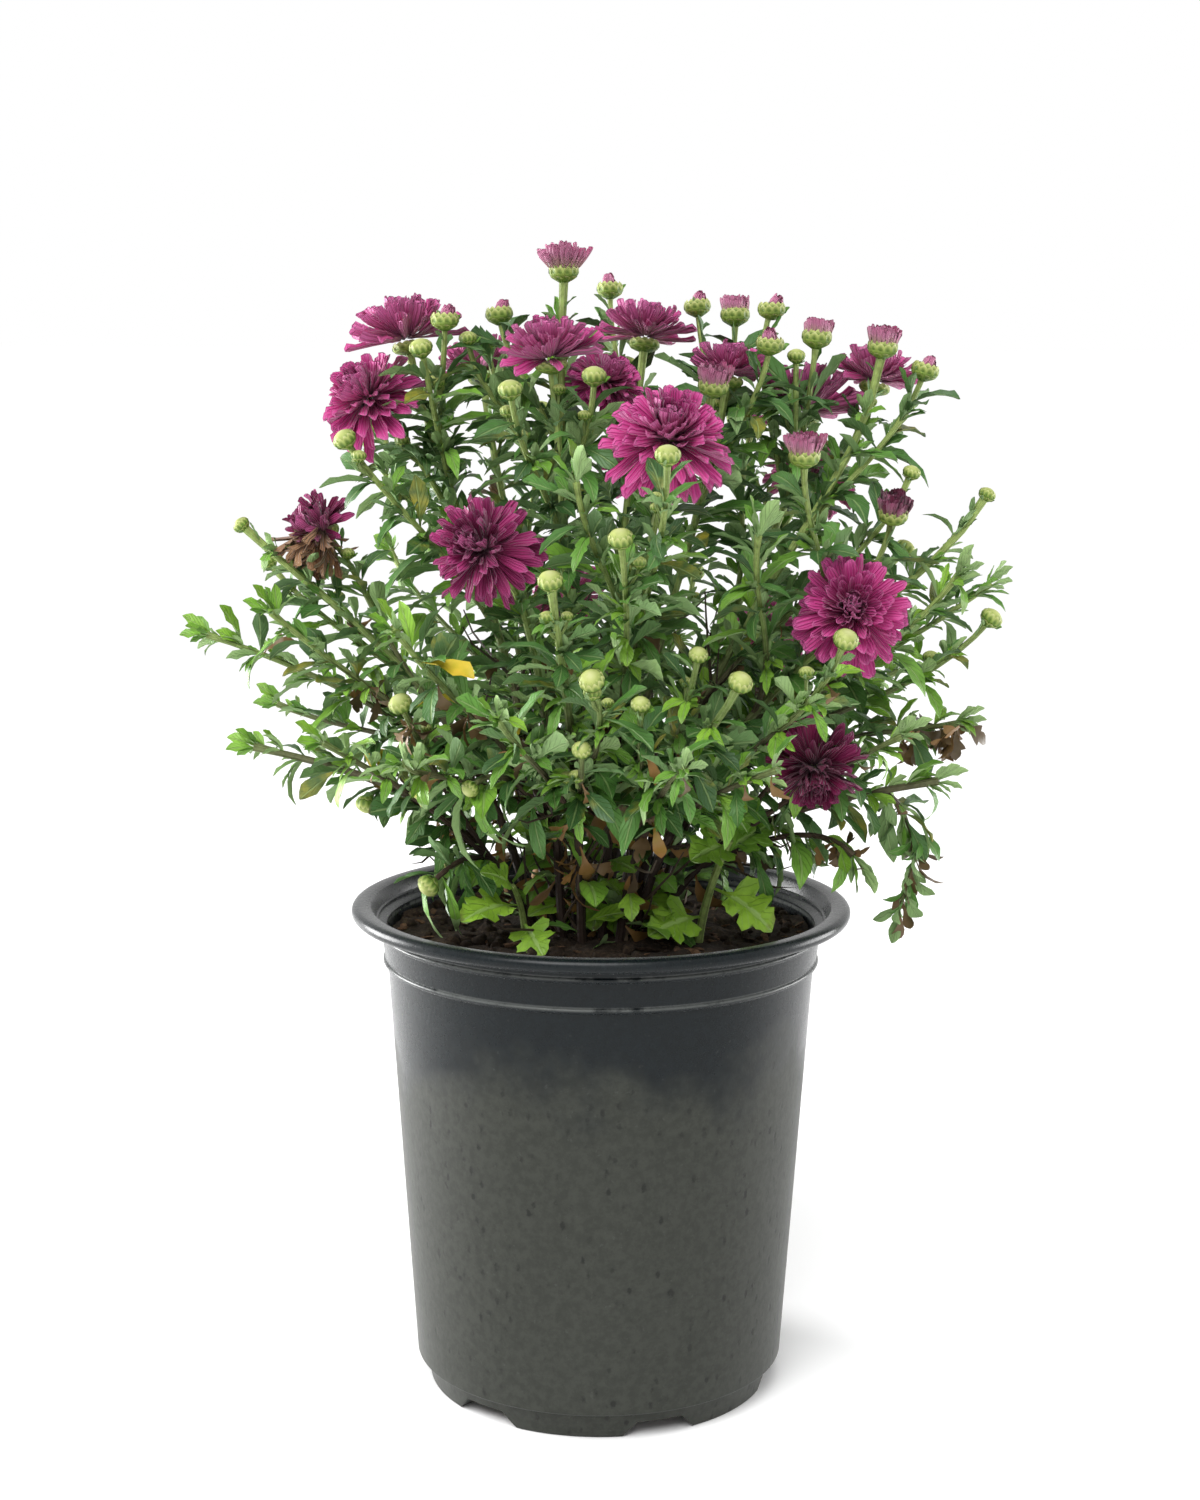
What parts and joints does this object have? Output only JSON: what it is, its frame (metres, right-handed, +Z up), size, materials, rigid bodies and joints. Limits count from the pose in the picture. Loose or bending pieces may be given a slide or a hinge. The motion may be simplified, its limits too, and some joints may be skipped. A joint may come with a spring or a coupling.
{
  "type": "potted chrysanthemum",
  "caption": "Bushy garden chrysanthemum with magenta double blooms, buds and toothed leaves, growing in a round black nursery pot.",
  "frame": {"origin": "middle of the pot's underside, on the surface that it stands on", "axes": "+Z up along the pot's axis, -Y towards the side that is looked at, +X to the right"},
  "size_m": [0.2786, 0.2507, 0.3787],
  "materials": {
    "pot_plastic": "thin black moulded plastic, satin, with grey dust on the lower wall",
    "potting_soil": "dark crumbly bark and peat mix",
    "stems_and_leaves": "mid green matt leaves with paler undersides, pale green stalks, woody brown lower stems",
    "young_leaves": "fresh yellow green lobed leaves",
    "petals": "velvety magenta petals with paler ribbed backs",
    "young_petals": "dusty pink petals of half open blooms",
    "wilted_petals": "dry maroon and brown petals"
  },
  "bodies": {
    "root": {"pot": "pot_plastic", "soil": "potting_soil", "leafy_stem_01": "stems_and_leaves", "leafy_stem_02": "stems_and_leaves", "leafy_stem_03": "stems_and_leaves", "leafy_stem_04": "stems_and_leaves", "leafy_stem_05": "stems_and_leaves", "leafy_stem_06": "stems_and_leaves", "leafy_stem_07": "stems_and_leaves", "leafy_stem_08": "stems_and_leaves", "leafy_stem_09": "stems_and_leaves", "leafy_stem_10": "stems_and_leaves", "leafy_stem_11": "stems_and_leaves", "leafy_stem_12": "stems_and_leaves", "leafy_stem_13": "stems_and_leaves", "leafy_stem_14": "stems_and_leaves", "leafy_stem_15": "stems_and_leaves", "leafy_stem_16": "stems_and_leaves", "leafy_stem_17": "stems_and_leaves", "leafy_stem_18": "stems_and_leaves", "leafy_stem_19": "stems_and_leaves", "leafy_stem_20": "stems_and_leaves", "leafy_stem_21": "stems_and_leaves", "basal_shoot_right": "young_leaves", "basal_shoot_left": "young_leaves", "bloom_01": "petals", "bloom_02": "petals", "wilted_bloom_01": "wilted_petals", "half_open_bloom_01": "young_petals", "bloom_03": "petals", "bloom_04": "petals", "bloom_05": "petals", "bloom_06": "petals", "bloom_07": "petals", "bloom_08": "petals", "half_open_bloom_02": "young_petals", "half_open_bloom_03": "young_petals", "bloom_09": "petals", "half_open_bloom_04": "young_petals", "half_open_bloom_05": "young_petals", "bloom_10": "petals", "bloom_11": "petals", "half_open_bloom_06": "young_petals", "half_open_bloom_07": "young_petals", "bloom_12": "petals", "bloom_13": "petals", "bloom_14": "petals", "bloom_15": "petals", "bloom_16": "petals", "bloom_17": "petals", "bloom_18": "petals", "bloom_19": "petals"}
  },
  "joints": []
}
